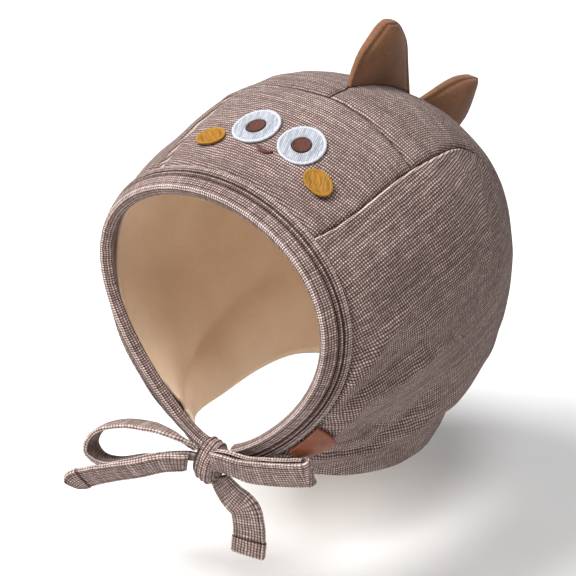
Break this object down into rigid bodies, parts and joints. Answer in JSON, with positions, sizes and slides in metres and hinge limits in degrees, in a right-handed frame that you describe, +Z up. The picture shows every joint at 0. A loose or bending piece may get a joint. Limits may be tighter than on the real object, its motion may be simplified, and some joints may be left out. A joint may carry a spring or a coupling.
{
  "type": "newborn bonnet",
  "caption": "Soft knitted newborn bonnet with a lined hood, folded face binding, padded spikes, an embroidered forehead and a bow tied under the chin.",
  "frame": {"origin": "where the crown of the wearer's head meets the lining", "axes": "+Z up, the face opening looks along -Y, +X is the wearer's left"},
  "size_m": [0.132, 0.184, 0.1824],
  "materials": {
    "knit": "matte",
    "lining_cloth": "matte",
    "spike_cloth": "matte",
    "leather": "satin",
    "white_thread": "satin",
    "dark_thread": "satin",
    "yellow_thread": "satin"
  },
  "bodies": {
    "root": {"front_panel": "knit", "crown_left": "knit", "crown_right": "knit", "side_left": "knit", "side_right": "knit", "lining": "lining_cloth", "face_band": "knit", "spike_front": "spike_cloth", "spike_rear": "spike_cloth", "eye_left": "white_thread", "eye_right": "white_thread", "pupil_left": "dark_thread", "pupil_right": "dark_thread", "cheek_left": "yellow_thread", "cheek_right": "yellow_thread", "mouth": "dark_thread", "side_label": "leather", "tie_knot": "knit", "tie_loop_left": "knit", "tie_loop_right": "knit", "tie_tail_left": "knit", "tie_tail_down": "knit"}
  },
  "joints": []
}
